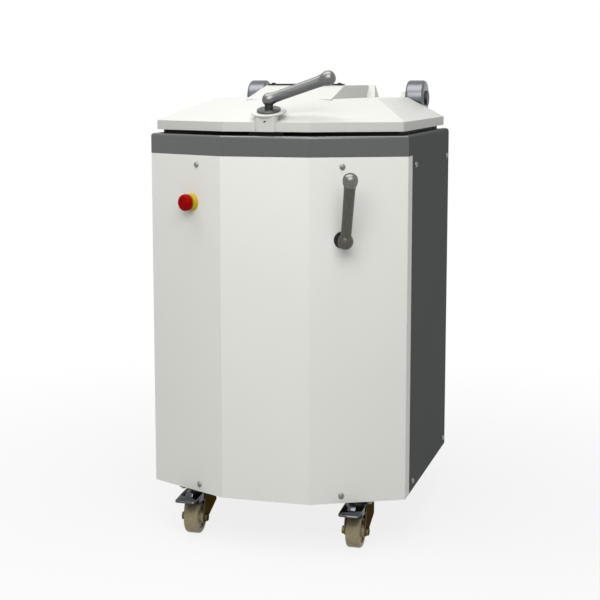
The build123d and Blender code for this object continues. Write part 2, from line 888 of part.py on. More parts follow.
def lid_arms():
    """Hinge arms that reach from the lid's rear wall to the stub shafts."""
    hub = Pos(hinge_y, hinge_z) * Circle(arm_hub_radius)
    foot = polygon((lid_rear, lid_bottom + arm_foot_low), (lid_rear, lid_bottom + arm_foot_high),
                   (hinge_y, hinge_z + arm_hub_radius), (hinge_y, hinge_z - arm_hub_radius))
    outline = hub + foot - Pos(hinge_y, hinge_z) * Circle(shaft_radius)
    return group(with_mirror(slab_x(outline, arm_inner_x, arm_inner_x + arm_width)))


def hinge_shaft():
    """Stub shaft on each side, held in its arm and turning in the barrel."""
    stub = rod_x(shaft_radius, arm_inner_x, barrel_outer_x - seat_play, hinge_y, hinge_z)
    return group(with_mirror(stub))


def hinge_towers():
    """Towers bolted to the rear of the cabinet, each ending in a broad barrel."""
    foot_top = deck_top - side_corner_radius
    foot_low = hinge_z - tower_drop - tower_foot_drop
    barrel = Pos(hinge_y, hinge_z) * Circle(barrel_radius)
    column = polygon((body_depth, hinge_z - tower_drop), (body_depth, hinge_z), (rear_most, hinge_z),
                     (body_depth + tower_base_depth, hinge_z - tower_drop))
    tower = slab_x(barrel + column, barrel_inner_x, barrel_outer_x)
    ends = [face for face in tower.faces() if abs(face.normal_at().X) > 0.9]
    tower = fillet([edge for face in ends for edge in face.edges()], barrel_round)
    middle = (barrel_inner_x + barrel_outer_x) / 2
    half_foot = tower_foot_width / 2
    tower += block(middle - half_foot, middle + half_foot, body_depth, body_depth + tower_foot,
                   foot_low, foot_top)
    tower -= rod_x(shaft_radius + bush_wall, barrel_inner_x, barrel_outer_x, hinge_y, hinge_z)
    return group(with_mirror(tower))


def hinge_bushes():
    bush = rod_x(shaft_radius + bush_wall, barrel_inner_x, barrel_outer_x - bush_end, hinge_y, hinge_z)
    bush -= rod_x(shaft_radius + running_play, barrel_inner_x, barrel_outer_x, hinge_y, hinge_z)
    return group(with_mirror(bush))


def hinge_caps():
    cap = rod_x(cap_radius, barrel_outer_x, barrel_outer_x + cap_thickness, hinge_y, hinge_z)
    cap = fillet(cap.edges().group_by(Axis.X)[-1], cap_thickness / 2)
    return group(with_mirror(cap))


def latch_slot(z_from, z_to):
    """Slot that the latch tee passes through as the lid swings up."""
    half = tee_length / 2 + slot_side
    front, rear = latch_y - tee_width / 2 - slot_front, latch_y + tee_width / 2 + slot_rear
    return block(-half, half, front, rear, z_from, z_to)


def latch_keeper():
    """Steel frame round the latch slot on the deck."""
    half = tee_length / 2 + slot_side + keeper_margin
    front = latch_y - tee_width / 2 - slot_front - keeper_margin / 2
    rear = latch_y + tee_width / 2 + slot_rear + keeper_margin
    keeper = block(-half, half, front, rear, deck_top, deck_top + keeper_height)
    return keeper - latch_slot(deck_top, deck_top + keeper_height)


def on_rim(piece, height):
    """A round piece tilted like the lid's front slope, its middle at a height over the latch's rim."""
    return Pos(0, latch_y, housing_top_z) * Rot(front_slope, 0, 0) * Pos(0, 0, height) * piece


def spindle_bore():
    return rod_z(spindle_radius + running_play, 0, latch_y, lid_bottom, lid_hub_z)


def latch_housing():
    """White housing that grips the lid's front edge, with a wide tilted rim under the disc."""
    rim_radius = housing_radius + housing_rim
    rim = on_rim(Cylinder(rim_radius, housing_rim_edge), -housing_rim_edge / 2)
    flare = Cone(housing_radius, rim_radius, housing_rim_height)
    flare = on_rim(flare, -housing_rim_edge - housing_rim_height / 2)
    front = lid_inset - housing_front
    bracket = block(-housing_radius, housing_radius, front, latch_y, lid_bottom, housing_top_z)
    bracket = fillet(bracket.edges().filter_by(Axis.Z).sort_by(Axis.Y)[:2], housing_corner)
    bracket += rod_z(housing_radius, 0, latch_y, lid_bottom, housing_top_z)
    under_rim = slope((0, latch_y, housing_top_z), (0, -1), plateau_rise, front_run, housing_rim_edge)
    housing = below(bracket, under_rim) + flare + rim - lid_hip(0)
    screw = Pos(0, front, lid_bottom + housing_screw_height) * Rot(90, 0, 0)
    housing -= screw * Cylinder(housing_screw_radius, 2 * housing_screw_depth)
    housing -= spindle_bore()
    return housing.solids().sort_by(SortBy.VOLUME)[-1]


def latch_disc():
    """Steel disc on the housing's rim."""
    disc = on_rim(Cylinder(disc_radius, disc_thickness), disc_thickness / 2)
    top_edge = disc.edges().sort_by(Axis.Z)[-1]
    return fillet(top_edge, disc_thickness / 3) - spindle_bore()


def ball_lever(hub_radius):
    """Ball lever along +X: hub ball, bar that thickens outward and end ball."""
    bar = Cone(lever_bar_radius, lever_bar_end_radius, lever_length)
    bar = Pos(lever_length / 2, 0, 0) * Rot(0, 90, 0) * bar
    return Sphere(hub_radius) + bar + Pos(lever_length, 0, 0) * Sphere(lever_end_radius)


def lid_lever():
    """Lever on top of the lid, pointing right and rising outward."""
    return Pos(0, latch_y, lid_hub_z) * Rot(0, -lid_lever_rise, 0) * ball_lever(lid_hub_radius)


def latch_spindle():
    """Spindle from the lever's hub down to the tee that locks under the deck."""
    spindle = rod_z(spindle_radius, 0, latch_y, tee_top, lid_hub_z)
    spindle -= Pos(0, latch_y, lid_hub_z) * Sphere(lid_hub_radius)
    half, half_width = tee_length / 2, tee_width / 2
    tee = block(-half, half, latch_y - half_width, latch_y + half_width, tee_bottom, tee_top)
    return group([spindle, tee])


def lever_bush():
    """Black bush in the front panel that the control spindle turns in."""
    bush = out_rod(bush_flange_radius, 0, bush_flange) + out_rod(bush_tube_radius, -valve_back, 0)
    return lever_place * (bush - out_rod(lever_spindle_radius + running_play, -valve_back, bush_flange))


def control_lever():
    """Upright lever on the right facet, leaning away from the panel."""
    lever = Rot(lever_lean, 0, 0) * Rot(0, 0, 90) * ball_lever(lever_hub_radius)
    neck = out_rod(lever_neck_radius, bush_flange + seat_play, lever_hub_out)
    return lever_place * (Pos(0, 0, lever_hub_out) * lever + neck)


def control_spindle():
    return lever_place * out_rod(lever_spindle_radius, -lever_spindle_reach, bush_flange + seat_play)


def stop_collar():
    """Yellow collar with the threaded tube that holds it in the panel."""
    collar = out_rod(stop_collar_radius, 0, stop_collar_height)
    collar = fillet(collar.edges().group_by(Axis.Z)[-1], sheet)
    collar += out_rod(stop_tube_radius, -sheet, 0)
    return stop_place * (collar - out_rod(stop_stem_radius + running_play, -sheet, stop_collar_height))


def stop_contacts():
    """Contact block behind the panel, bored for the button's stem."""
    half = stop_block / 2
    contacts = block(-half, half, -half, half, -sheet - stop_block_depth, -sheet)
    bore_end = -sheet - stop_block_depth / 2
    return stop_place * (contacts - out_rod(stop_stem_radius + running_play, bore_end, -sheet))


def stop_head():
    """Red mushroom head with its stem."""
    low = stop_collar_height + stop_travel + seat_play
    head = out_rod(stop_head_radius, low, low + stop_head_height)
    head = fillet(head.edges().group_by(Axis.Z)[-1], stop_head_height / 2)
    stem_end = -sheet - stop_block_depth / 2 + stop_travel + seat_play
    return stop_place * (head + out_rod(stop_stem_radius, stem_end, low))


def panel_screws():
    """Button-head screws of the front, side and rear panels."""
    head = out_rod(screw_head_radius, 0, screw_head_height)
    head = fillet(head.edges().group_by(Axis.Z)[-1], screw_head_height / 2)
    screw = head + out_rod(screw_radius, -sheet, 0)
    return group([place * screw for place in (*front_screw_places, *side_screw_places, *rear_screw_places)])


def hex_bolts():
    """Bolt heads under the caster plates and on the feet of the hinge towers."""
    head = extrude(RegularPolygon(bolt_size, 6), amount=bolt_head)
    half = caster_bolt_pitch / 2
    plate_bottom = caster_height - caster_plate
    bolts = [Pos(x + right * half, y + back * half, plate_bottom - bolt_head) * head
             for x, y, _ in caster_places.values() for right in (-1, 1) for back in (-1, 1)]
    foot_top = deck_top - side_corner_radius
    middle = (barrel_inner_x + barrel_outer_x) / 2
    spread = tower_foot_width / 2 - 1.5 * bolt_size
    for x in (-middle, middle):
        for side in (-1, 1):
            for z in (foot_top - 1.5 * bolt_size, hinge_z - tower_drop - tower_foot_drop + 1.5 * bolt_size):
                bolts.append(Pos(x + side * spread, body_depth + tower_foot, z) * Rot(-90, 0, 0) * head)
    return group(bolts)


# Place of each caster's swivel axis, and whether it has a brake
caster_places = {
    "front_left": (-caster_x, caster_front_y, True),
    "front_right": (caster_x, caster_front_y, True),
    "rear_left": (-caster_x, caster_rear_y, False),
    "rear_right": (caster_x, caster_rear_y, False),
}


def caster_plates():
    """Top plates, each with its swivel race and the kingpin riveted through it."""
    half = caster_plate_size / 2
    plate = block(-half, half, -half, half, caster_height - caster_plate, caster_height)
    plate = fillet(plate.edges().filter_by(Axis.Z), bolt_size)
    race = rod_z(race_radius, 0, 0, race_bottom, caster_height - caster_plate)
    head_top = crown_bottom - seat_play
    kingpin = rod_z(kingpin_radius, 0, 0, head_top, race_bottom)
    kingpin += rod_z(kingpin_head, 0, 0, head_top - kingpin_head_height, head_top)
    pieces = (plate, race, kingpin)
    return group([Pos(x, y, 0) * piece for x, y, _ in caster_places.values() for piece in pieces])


def caster_fork(x, y, braked):
    """Fork with two cheeks, the axle bolt with its nuts and, for a brake, the pedal's pin."""
    eye = Pos(-caster_trail, wheel_radius) * Circle(fork_eye)
    top = Pos((fork_crown_rear - fork_crown_front) / 2, crown_top - fork_cheek / 2) * Rectangle(
        fork_crown_front + fork_crown_rear, fork_cheek)
    cheek = make_hull([*eye.edges(), *top.edges()])
    fork = slab_x(cheek, -fork_outer, -fork_inner) + slab_x(cheek, fork_inner, fork_outer)
    fork += block(-fork_outer, fork_outer, -fork_crown_front, fork_crown_rear, crown_bottom, crown_top)
    fork -= rod_z(kingpin_radius + running_play, 0, 0, crown_bottom, crown_top)
    fork -= rod_x(axle_radius, -fork_outer, fork_outer, -caster_trail, wheel_radius)
    axle = rod_x(axle_radius, -fork_outer, fork_outer, -caster_trail, wheel_radius)
    nut = extrude(Plane.YZ * RegularPolygon(axle_nut, 6), amount=axle_nut_height)
    axle += Pos(fork_outer, -caster_trail, wheel_radius) * nut
    axle += Pos(-fork_outer - axle_nut_height, -caster_trail, wheel_radius) * nut
    pieces = [fork, axle]
    if braked:
        pin = rod_x(pedal_pin, -fork_outer, fork_outer, -pedal_pivot_back, pivot_z)
        pieces = [fork - pin, axle, pin]
    return group([Pos(x, y, 0) * piece for piece in pieces])


def caster_wheel(x, y):
    """Nylon wheel with bevelled shoulders, a recessed web and a hub."""
    half, hub_half = wheel_width / 2, fork_inner - seat_play
    web_half = half - wheel_recess
    inner_rim = wheel_radius - wheel_rim
    bore = axle_radius + running_play
    hub = wheel_hub_radius
    right = [(bore, hub_half), (hub, hub_half), (hub, web_half), (inner_rim, web_half), (inner_rim, half),
             (wheel_radius - wheel_bevel / 2, half), (wheel_radius, half - wheel_bevel)]
    left = [(radius, -side) for radius, side in reversed(right)]
    profile = Plane.YX * polygon(*right, *left)
    wheel = revolve(profile, axis=Axis.X)
    return Pos(x, y - caster_trail, wheel_radius) * wheel


def brake_pedal(x, y):
    """Bent pedal plate over the wheel, on two ears that pivot in the fork."""
    start, end = -pedal_start, -pedal_start - pedal_length
    low = pedal_top - pedal_drop
    underside = pedal_top - pedal_thickness
    side_view = polygon((start, pedal_top), (end, low), (end, low - pedal_lip),
                        (end + pedal_thickness, low - pedal_lip),
                        (end + pedal_thickness, low - pedal_thickness), (start, underside))
    plate = slab_x(side_view, -pedal_width / 2, pedal_width / 2)
    ear_front = start - pedal_pivot_back
    plate_fall = pedal_pivot_back * (pedal_drop / (pedal_length - pedal_thickness))
    ear_view = polygon((-pedal_pivot_back, pivot_z + pedal_boss), (-pedal_pivot_back, pivot_z),
                       (ear_front, pivot_z), (ear_front, underside - plate_fall), (start, underside),
                       (start, pivot_z + pedal_boss))
    pivot = Pos(-pedal_pivot_back, pivot_z)
    ear_view = ear_view + pivot * Circle(pedal_boss) - pivot * Circle(pedal_pin + running_play)
    ear_outer = fork_inner - seat_play
    ears = with_mirror(slab_x(ear_view, ear_outer - pedal_ear, ear_outer))
    return group([Pos(x, y, 0) * piece for piece in (plate, *ears)])


nodes = {
    "base_tray": base_tray(),
    "frame_posts": frame_posts(),
    "front_panel": front_panel(),
    "side_panel_left": side_panel(-1),
    "side_panel_right": side_panel(1),
    "rear_panel": rear_panel(),
    "top_band": top_band(),
    "top_deck": top_deck(),
    "dough_tank": dough_tank(),
    "tank_seal": tank_seal(),
    "panel_screws": panel_screws(),
    "hex_bolts": hex_bolts(),
    "guide_posts": guide_posts(),
    "press_cylinder": press_cylinder(),
    "knife_cylinders": knife_cylinders(),
    "oil_tank": oil_tank(),
    "motor": motor(),
    "valve_bracket": valve_bracket(),
    "control_valve": control_valve(),
    "hydraulic_pipes": hydraulic_pipes(),
    "electrical_box": electrical_box(),
    "cable_gland": cable_gland(),
    "hinge_towers": hinge_towers(),
    "hinge_bushes": hinge_bushes(),
    "hinge_caps": hinge_caps(),
    "latch_keeper": latch_keeper(),
    "lever_bush": lever_bush(),
    "stop_collar": stop_collar(),
    "stop_contacts": stop_contacts(),
    "caster_plates": caster_plates(),
    "lid_casting": lid_casting(),
    "lid_lining": lid_lining(),
    "lid_strip": lid_strip(),
    "lid_arms": lid_arms(),
    "hinge_shaft": hinge_shaft(),
    "latch_housing": latch_housing(),
    "latch_disc": latch_disc(),
    "lid_lever": lid_lever(),
    "latch_spindle": latch_spindle(),
    "control_lever": control_lever(),
    "control_spindle": control_spindle(),
    "stop_head": stop_head(),
    "press_blocks": press_blocks(),
    "press_columns": press_columns(),
    "press_carrier": press_carrier(),
    "press_ram": press_ram(),
    "knife_blades": knife_blades(),
    "knife_ring": knife_ring(),
    "knife_rams": knife_rams(),
}
for place, (swivel_x, swivel_y, braked) in caster_places.items():
    nodes[f"caster_fork_{place}"] = caster_fork(swivel_x, swivel_y, braked)
    nodes[f"caster_wheel_{place}"] = caster_wheel(swivel_x, swivel_y)
    if braked:
        nodes[f"brake_pedal_{place}"] = brake_pedal(swivel_x, swivel_y)

os.makedirs("parts", exist_ok=True)
for name, shape in nodes.items():
    export_step(Pos(0, -middle_y, 0) * shape, f"parts/{name}.step")
print(len(nodes), "nodes, front face at y =", round(-middle_y, 2))
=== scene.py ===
# %% [markdown]
# # Dough divider
# A baker's dough divider: a sheet-metal cabinet on casters, a dough tank in its top and a heavy
# hinged lid that is latched down while the dough is pressed and cut. The pieces come from a fixed
# CAD frame at their real size, in metres. This script gives them their finishes, and models by hand
# the pieces whose soft edges and small details a plain solid lacks.

# %% Load the frame
import json
import math

import bmesh
import bpy
from mathutils import Matrix, Vector


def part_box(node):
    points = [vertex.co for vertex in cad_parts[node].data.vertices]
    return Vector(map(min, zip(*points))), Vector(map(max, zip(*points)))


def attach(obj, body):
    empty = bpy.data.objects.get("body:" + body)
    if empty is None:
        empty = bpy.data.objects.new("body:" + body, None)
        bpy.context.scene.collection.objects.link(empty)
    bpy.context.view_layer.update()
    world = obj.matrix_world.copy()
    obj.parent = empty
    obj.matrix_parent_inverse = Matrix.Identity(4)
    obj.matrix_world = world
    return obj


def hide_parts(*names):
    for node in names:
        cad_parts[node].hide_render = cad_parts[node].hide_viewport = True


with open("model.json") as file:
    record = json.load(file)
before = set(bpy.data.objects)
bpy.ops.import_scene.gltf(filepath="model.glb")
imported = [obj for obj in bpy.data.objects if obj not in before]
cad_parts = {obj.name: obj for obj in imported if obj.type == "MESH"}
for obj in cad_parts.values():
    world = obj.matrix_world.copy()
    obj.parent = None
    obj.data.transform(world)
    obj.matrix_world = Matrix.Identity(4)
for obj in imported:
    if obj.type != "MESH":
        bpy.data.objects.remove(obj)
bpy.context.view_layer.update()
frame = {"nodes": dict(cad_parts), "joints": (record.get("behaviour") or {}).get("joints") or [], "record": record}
nodes = frame["nodes"]
record = frame["record"]
joints = {joint["name"]: joint for joint in frame["joints"]}
slot_of = {piece["node"]: piece["material_slot"] for piece in record["subparts"]}
body_of = {node: body for body, members in record["behaviour"]["bodies"].items()
           for node in members}
mm = 0.001

# %% [markdown]
# ## Helpers for finishes
# A finish is a small graph of shader nodes. One function adds a node, sets it and links it, so that
# each finish below reads as a list of what its surface shows. Colours are written as they look on a
# screen, and are turned into the linear values that light is worked out with. Patterns are sized in
# millimetres: a noise texture's scale is how many of its features fit in one metre. They lie on a
# piece's object coordinates, so that nothing has to be unwrapped. Every finish ends in the same way:
# one noise varies its colour, and another varies its roughness and raises its bumps. On a streaky
# metal, one noise does all of it.

# %% Colour and size helpers


def colour(code):
    """Linear colour of an sRGB hex code."""
    channels = [int(code[start:start + 2], 16) / 255 for start in (1, 3, 5)]
    linear = [c / 12.92 if c <= 0.04045 else ((c + 0.055) / 1.055) ** 2.4 for c in channels]
    return linear + [1.0]


def per_metre(size):
    """Texture scale for features of this size in millimetres."""
    return 1000 / size


# %% Node helpers


def add_node(finish, kind, sockets=None, **options):
    """Adds a shader node. Sockets are given values, or the output of another node to link from."""
    node = finish.node_tree.nodes.new(kind)
    for option, value in options.items():
        setattr(node, option, value)
    for socket, value in (sockets or {}).items():
        if isinstance(value, bpy.types.NodeSocket):
            finish.node_tree.links.new(value, node.inputs[socket])
        else:
            node.inputs[socket].default_value = value
    return node


def start_finish(name):
    """New material with its shader, and the coordinates that its patterns lie on."""
    finish = bpy.data.materials.new(name)
    finish.use_nodes = True
    shader = finish.node_tree.nodes["Principled BSDF"]
    place = add_node(finish, "ShaderNodeTexCoord").outputs["Object"]
    return finish, shader, place


# %% What every surface shows


def surface(finish, shader, tone, colours, relief, roughness, spread, strength, depth):
    """Varies the colour by the tone's noise, and the roughness and the bumps by the relief's."""
    dark, light = colours
    height = relief.outputs["Fac"]
    # A Mix node's colours are its inputs 6 and 7, and its output 2.
    tint = add_node(finish, "ShaderNodeMix", {
        0: tone.outputs["Fac"], 6: colour(dark), 7: colour(light)}, data_type="RGBA")
    gloss = add_node(finish, "ShaderNodeMapRange", {
        "Value": height, "To Min": roughness - spread, "To Max": roughness + spread})
    bump = add_node(finish, "ShaderNodeBump", {
        "Height": height, "Strength": strength, "Distance": depth * mm})
    links = finish.node_tree.links
    links.new(tint.outputs[2], shader.inputs["Base Color"])
    links.new(gloss.outputs["Result"], shader.inputs["Roughness"])
    links.new(bump.outputs["Normal"], shader.inputs["Normal"])
    return finish


# %% [markdown]
# ## Powder coat on sheet steel
# The cabinet's panels are folded sheet steel with a baked powder coat. Close to, such a coat has
# the fine ripple called orange peel, and it is a little uneven in tone from one end of a panel to
# the other. Two noise patterns give both at any distance. The ripple is about 2 mm on the real
# panel. It is drawn coarser here, so that it shows. The band under the lid has a smoother, glossier
# coat than the side panels, so that its rounded edge catches the lamp above in one bright line.

# %% Powder coats
tone_size = 240


def powder_coat(name, light, dark, roughness, specular, ripple, depth):
    """Coat with a slow change of tone, and a ripple of this size and depth in millimetres."""
    finish, shader, place = start_finish(name)
    shader.inputs["Specular IOR Level"].default_value = specular
    tone = add_node(finish, "ShaderNodeTexNoise", {
        "Vector": place, "Scale": per_metre(tone_size), "Detail": 3.0})
    peel = add_node(finish, "ShaderNodeTexNoise", {
        "Vector": place, "Scale": per_metre(ripple), "Detail": 2.0})
    return surface(finish, shader, tone, (dark, light), peel, roughness, spread=0.05, strength=0.3,
                   depth=depth)


# Satin on the front panel: a broad soft highlight.
white_coat = powder_coat("white_powder_coat", "#e9e9e4", "#e4e4df", 0.42, 0.25, 5, 0.10)
# Over the lid's casting: a longer ripple than on sheet metal.
lid_coat = powder_coat("white_coat_on_casting", "#c9cac4", "#c4c5bf", 0.38, 0.20, 14, 0.12)
# Textured on the sides and the rear: it scatters the light and hardly shines.
grey_coat = powder_coat("dark_grey_textured_coat", "#505453", "#4b4f4e", 0.58, 0.03, 4, 0.14)
# Smooth on the band: it mirrors the lamp.
band_coat = powder_coat("dark_grey_smooth_coat", "#424645", "#3e4241", 0.18, 1.0, 6, 0.04)
# On the frame inside: black with a dull shine.
black_coat = powder_coat("black_powder_coat", "#1d1e1e", "#171818", 0.5, 0.40, 4, 0.12)
# Sprayed enamel on the cylinders and the motor: a soft gloss.
enamel = powder_coat("dark_grey_enamel", "#3d4245", "#363b3e", 0.38, 0.50, 8, 0.10)
print("coats made")

# %% [markdown]
# ## Bare and plated metals
# The levers are die-cast, and their balls are drawn in a brighter metal: a painted highlight. The
# tank and the blades are ground stainless steel, rods are turned, the brake pedals are chrome plate
# drawn dark as a painted reflection, and the caster forks are zinc-plated with the yellowish film
# that protects the zinc. Each is a metal with its own tint.
# What tells them apart is how the light is drawn out along the marks that grinding, turning or
# polishing left. A noise that is stretched along one axis gives such marks. Real ones are a
# fraction of a millimetre wide. They are drawn some millimetres wide here, so that they show.

# %% Metal with marks
stain_size = 30


def marked_metal(name, light, dark, roughness, spread, stretch, mark, depth, streaky=False):
    """Metal with marks drawn out by stretching noise along some axes. Streaky ones tint it too."""
    finish, shader, place = start_finish(name)
    shader.inputs["Metallic"].default_value = 1.0
    drawn = add_node(finish, "ShaderNodeMapping", {"Vector": place, "Scale": stretch})
    marks = add_node(finish, "ShaderNodeTexNoise", {
        "Vector": drawn.outputs["Vector"], "Scale": per_metre(mark), "Detail": 4.0})
    tone = marks
    if not streaky:
        tone = add_node(finish, "ShaderNodeTexNoise", {
            "Vector": place, "Scale": per_metre(stain_size), "Detail": 3.0})
    return surface(finish, shader, tone, (dark, light), marks, roughness, spread, strength=0.25,
                   depth=depth)


# %% Lever metals
even = (1, 1, 1)
upright = (1, 1, 0.06)
lengthwise = (0.05, 1, 1)
# Polished along the bar: streaks that draw out the highlight.
lever_metal = marked_metal("polished_die_cast_zinc", "#7c7d7d", "#575858", 0.38, 0.06,
                           lengthwise, 4, 0.04, streaky=True)
# The upright lever is the same casting, drawn darker and more olive: painted shade.
upright_lever_metal = marked_metal("polished_upright_zinc_painted_shade", "#66665f", "#45453e", 0.30, 0.06,
                                   upright, 4, 0.04, streaky=True)
# On the balls: no streaks and a little smoother, and a brighter tone that is a painted highlight.
ball_highlight_metal = marked_metal("zinc_with_painted_highlight", "#7a7a77", "#666663", 0.33, 0.05, even, 5, 0.02)
print("lever metals made")

# %% Other metals
# Metallic paint on the hinge towers: a dull grey gleam.
tower_metal = marked_metal("grey_metallic_paint", "#6c6e71", "#626467", 0.33, 0.05, even, 5, 0.05)
# Ground: pale, with marks that all run one way.
stainless = marked_metal("ground_stainless", "#c9cac8", "#bcbdbb", 0.30, 0.08, lengthwise, 4, 0.03)
# Turned rods: bright, with a narrow highlight.
bright_steel = marked_metal("turned_steel", "#b9b9b7", "#a9a9a7", 0.20, 0.06, even, 3, 0.02)
# Zinc plate on screws, pipes and caster plates: a grey sheen with faint stains.
zinc = marked_metal("zinc_plate", "#8a8983", "#787770", 0.30, 0.06, even, 5, 0.03)
# The film on the forks is yellowish, and dims what the zinc mirrors at a low angle.
yellow_zinc = marked_metal("yellow_passivated_zinc", "#6a6347", "#4a4531", 0.36, 0.08,
                           even, 12, 0.05)
film = yellow_zinc.node_tree.nodes["Principled BSDF"]
film.inputs["Specular Tint"].default_value = colour("#8a8262")
# Chrome plate on the pedals, drawn dark: the dark tone is a painted reflection of dark surroundings.
chrome_painted_dark = marked_metal("chrome_plate_painted_dark", "#55585d", "#46494e", 0.10, 0.03, even, 8, 0.02)
# Steel that is oxidised looks dark, blackened it is nearly black, and burnished it is grey again.
dark_steel = marked_metal("oxidised_steel", "#3c3e40", "#2e3032", 0.38, 0.08, even, 5, 0.05)
blackened_steel = marked_metal("blackened_steel", "#1d1e1f", "#141516", 0.45, 0.08, even, 5, 0.05)
disc_steel = marked_metal("burnished_steel", "#6a6e67", "#50534d", 0.32, 0.06, even, 5, 0.03)
# Sintered bronze in the hinge bushes: warm and dull.
bronze = marked_metal("sintered_bronze", "#b08a4e", "#95733d", 0.42, 0.06, even, 2, 0.03)
# Plain aluminium on the oil tank and the valve: pale, with faint upright marks.
aluminium = marked_metal("plain_aluminium", "#c2c3c3", "#b3b4b4", 0.40, 0.08, upright, 4, 0.04)
print("other metals made")

# %% [markdown]
# ## Plastics and rubber
# Moulded plastic carries the fine grain of its mould, which is drawn coarser here, so that it shows.
# The stop button's red is deep and hardly shines, and its yellow collar is a little glossier. The
# press plate's blocks are a milky polyethylene, and the wheels are a cream nylon that yellows
# unevenly. Caps and bushes are black and the electrical box is grey, with a dull shine, and the
# seals are a matt sponge rubber.

# %% Plastics and rubber


def moulded(name, light, dark, roughness, grain, depth, patch, specular=0.5):
    """Plastic or rubber with patches of tone and a fine grain, sized in millimetres."""
    finish, shader, place = start_finish(name)
    shader.inputs["Specular IOR Level"].default_value = specular
    patches = add_node(finish, "ShaderNodeTexNoise", {
        "Vector": place, "Scale": per_metre(patch), "Detail": 4.0})
    pits = add_node(finish, "ShaderNodeTexNoise", {
        "Vector": place, "Scale": per_metre(grain), "Detail": 2.0})
    return surface(finish, shader, patches, (dark, light), pits, roughness, spread=0.06,
                   strength=0.3, depth=depth)


black_plastic = moulded("moulded_black_plastic", "#1b1b1b", "#141414", 0.45, 2, 0.05, 40)
red_plastic = moulded("moulded_red_plastic", "#9a0305", "#880204", 0.36, 3, 0.02, 20, 0.04)
yellow_plastic = moulded("moulded_yellow_plastic", "#c6a814", "#b09410", 0.32, 3, 0.02, 20, 0.3)
white_plastic = moulded("natural_polyethylene", "#c9c7be", "#bfbdb3", 0.45, 4, 0.05, 60, 0.3)
grey_plastic = moulded("grey_moulded_plastic", "#9fa1a1", "#969898", 0.5, 3, 0.05, 80)
nylon = moulded("cream_nylon", "#a49979", "#8b7e60", 0.42, 6, 0.08, 18)
rubber = moulded("black_sponge_rubber", "#161616", "#0e0e0e", 0.75, 3, 0.12, 30)
print("plastics made")

# %% Give every CAD piece its finish
finishes = {
    "white_panel": white_coat, "white_lid": lid_coat, "grey_panel": grey_coat,
    "black_frame": black_coat, "cylinder_paint": enamel, "grey_tower": tower_metal,
    "lever_metal": lever_metal, "stainless": stainless, "steel": bright_steel, "zinc": zinc,
    "pipe_steel": zinc, "dark_metal": dark_steel, "bronze": bronze, "cast_aluminium": aluminium,
    "fork_zinc": yellow_zinc, "pedal_chrome": chrome_painted_dark, "nylon_block": white_plastic,
    "wheel_nylon": nylon, "black_plastic": black_plastic, "yellow_plastic": yellow_plastic,
    "red_plastic": red_plastic, "box_plastic": grey_plastic, "seal_rubber": rubber,
}
own_finishes = {"top_band": band_coat, "latch_keeper": blackened_steel}
for name, piece in nodes.items():
    piece.data.materials.clear()
    piece.data.materials.append(own_finishes.get(name) or finishes[slot_of[name]])
print(len(finishes), "slots have a finish, and", len(own_finishes), "pieces have one of their own")

# %% [markdown]
# ## Helpers for shapes
# Round pieces are turned, as on a lathe: a filled circle is extruded from ring to ring and resized
# to each radius of an outline. Spinning the outline would do too, but it leaves a seam to close. A
# piece is made about the origin, then turned and moved to its place, and both are applied to its
# mesh. Each finished piece takes the finish and the body of the CAD piece that it stands for.

# %% Helpers that select, settle and smooth a piece


def pick(*pieces):
    """Selects these pieces alone and makes the first one active."""
    bpy.ops.object.select_all(action="DESELECT")
    for piece in pieces:
        piece.select_set(True)
    bpy.context.view_layer.objects.active = pieces[0]


def settled(piece):
    """Applies a piece's place, turn and scale to its mesh."""
    pick(piece)
    bpy.ops.object.transform_apply(location=True, rotation=True, scale=True)
    return piece


def smoothed(piece, angle=32):
    """Shades a piece smooth, apart from edges that turn by more than an angle."""
    pick(piece)
    bpy.ops.object.shade_smooth_by_angle(angle=math.radians(angle))
    return piece


# %% Helpers that add a modifier


def fitted(piece, kind, **settings):
    """Adds a modifier with its settings and applies it."""
    pick(piece)
    bpy.ops.object.modifier_add(type=kind)
    modifier = piece.modifiers[-1]
    for setting, value in settings.items():
        setattr(modifier, setting, value)
    bpy.ops.object.modifier_apply(modifier=modifier.name)
    return piece


def bevelled(piece, width, segments, angle=30):
    """Rounds the edges that turn by more than an angle. The width is in millimetres."""
    return fitted(piece, "BEVEL", width=width * mm, segments=segments, limit_method="ANGLE",
                  angle_limit=math.radians(angle))


# %% Helpers that turn a round piece


def extrude(step):
    """In edit mode, extrudes what is selected. The step is in millimetres."""
    move = tuple(distance * mm for distance in step)
    bpy.ops.mesh.extrude_region_move(TRANSFORM_OT_translate={"value": move})


def turned(outline, sides):
    """Round piece about +Z from a list of (radius, height) in millimetres."""
    bpy.ops.object.select_all(action="DESELECT")
    radius, height = outline[0]
    bpy.ops.mesh.primitive_circle_add(vertices=sides, radius=radius * mm, fill_type="NGON",
                                      location=(0, 0, height * mm))
    piece = settled(bpy.context.object)
    bpy.ops.object.mode_set(mode="EDIT")
    bpy.ops.mesh.select_all(action="SELECT")
    for next_radius, next_height in outline[1:]:
        extrude((0, 0, next_height - height))
        grow = next_radius / radius
        bpy.ops.transform.resize(value=(grow, grow, 1), center_override=(0, 0, 0))
        radius, height = next_radius, next_height
    bpy.ops.mesh.select_all(action="SELECT")
    bpy.ops.mesh.normals_make_consistent(inside=False)
    bpy.ops.object.mode_set(mode="OBJECT")
    return smoothed(piece)


# %% Helpers that place and finish a piece


def placed(piece, point, direction=None):
    """Turns a piece's +Z to a direction, if one is given, and moves it to a point."""
    turn = Matrix()
    if direction:
        turn = Vector(direction).to_track_quat("Z", "Y").to_matrix().to_4x4()
    piece.matrix_world = Matrix.Translation(point) @ turn
    return settled(piece)


def copied(piece):
    """Copy of a piece, with a mesh of its own."""
    pick(piece)
    bpy.ops.object.duplicate()
    return bpy.context.object


def joined(*pieces):
    """Makes one piece of several."""
    pick(*pieces)
    bpy.ops.object.join()
    return bpy.context.object


